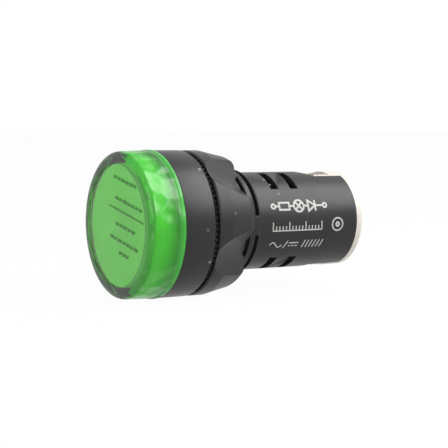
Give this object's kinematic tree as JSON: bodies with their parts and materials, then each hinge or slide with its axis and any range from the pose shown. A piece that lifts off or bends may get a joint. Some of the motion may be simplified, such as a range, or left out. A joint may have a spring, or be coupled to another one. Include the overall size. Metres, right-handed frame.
{
  "type": "panel pilot light",
  "caption": "Round green indicator light with a threaded barrel, scalloped fixing nut, vented black body and rear screw terminals.",
  "frame": {"origin": "centre of the collar's rear face, where the light seats on the front of a panel", "axes": "+Y runs back along the light from the lens to the terminals; +Z points to the upper wire window"},
  "size_m": [0.022, 0.0396, 0.022],
  "materials": {
    "green_lens": "translucent moulded, polished",
    "film": "clear film",
    "white_plastic": "matt white",
    "black_plastic": "moulded satin black",
    "gasket_rubber": "rubber",
    "black_washer": "moulded black",
    "black_nut": "moulded satin black",
    "circuit_board": "glass-epoxy board",
    "component_black": "epoxy",
    "capacitor_sleeve": "shrink sleeve",
    "cream_plastic": "moulded cream",
    "led_resin": "clear resin",
    "resistor_coat": "lacquer",
    "plated_brass": "tin plated",
    "zinc_steel": "zinc plated"
  },
  "bodies": {
    "root": {"lens": "green_lens", "protective_film": "film", "diffuser": "white_plastic", "housing": "black_plastic", "gasket": "gasket_rubber", "led_board": "circuit_board", "rectifier": "component_black", "capacitor": "capacitor_sleeve", "terminal_block": "cream_plastic", "led_1": "led_resin", "led_2": "led_resin", "led_3": "led_resin", "led_4": "led_resin", "led_5": "led_resin", "led_6": "led_resin", "dropper_resistor_upper": "resistor_coat", "terminal_plate_upper": "plated_brass", "dropper_resistor_lower": "resistor_coat", "terminal_plate_lower": "plated_brass"},
    "washer": {"lock_washer": "black_washer"},
    "nut": {"fixing_nut": "black_nut"},
    "clamp_upper": {"clamp_washer_upper": "zinc_steel"},
    "screw_upper": {"terminal_screw_upper": "zinc_steel"},
    "clamp_lower": {"clamp_washer_lower": "zinc_steel"},
    "screw_lower": {"terminal_screw_lower": "zinc_steel"}
  },
  "joints": [
    {"name": "washer_slide", "type": "slide", "parent": "root", "child": "washer", "axis": [0, 1, 0], "range_m": [0, 0.006]},
    {"name": "nut_turn", "type": "hinge", "parent": "washer", "child": "nut", "pos_m": [0, 0.004, 0], "axis": [0, 1, 0], "range_deg": [0, 1440.01]},
    {"name": "clamp_upper_slide", "type": "slide", "parent": "root", "child": "clamp_upper", "axis": [0, 1, 0], "range_m": [0, 0.002]},
    {"name": "screw_upper_turn", "type": "hinge", "parent": "clamp_upper", "child": "screw_upper", "pos_m": [0, 0.024, 0.0033], "axis": [0, 1, 0], "range_deg": [0, 1600.01]},
    {"name": "clamp_lower_slide", "type": "slide", "parent": "root", "child": "clamp_lower", "axis": [0, 1, 0], "range_m": [0, 0.002]},
    {"name": "screw_lower_turn", "type": "hinge", "parent": "clamp_lower", "child": "screw_lower", "pos_m": [0, 0.024, -0.0033], "axis": [0, 1, 0], "range_deg": [0, 1600.01]}
  ],
  "couplings": [
    {"joint": "nut_turn", "follows": "washer_slide", "rad_per_m": 4188.8},
    {"joint": "screw_upper_turn", "follows": "clamp_upper_slide", "rad_per_m": 13963},
    {"joint": "screw_lower_turn", "follows": "clamp_lower_slide", "rad_per_m": 13963}
  ]
}
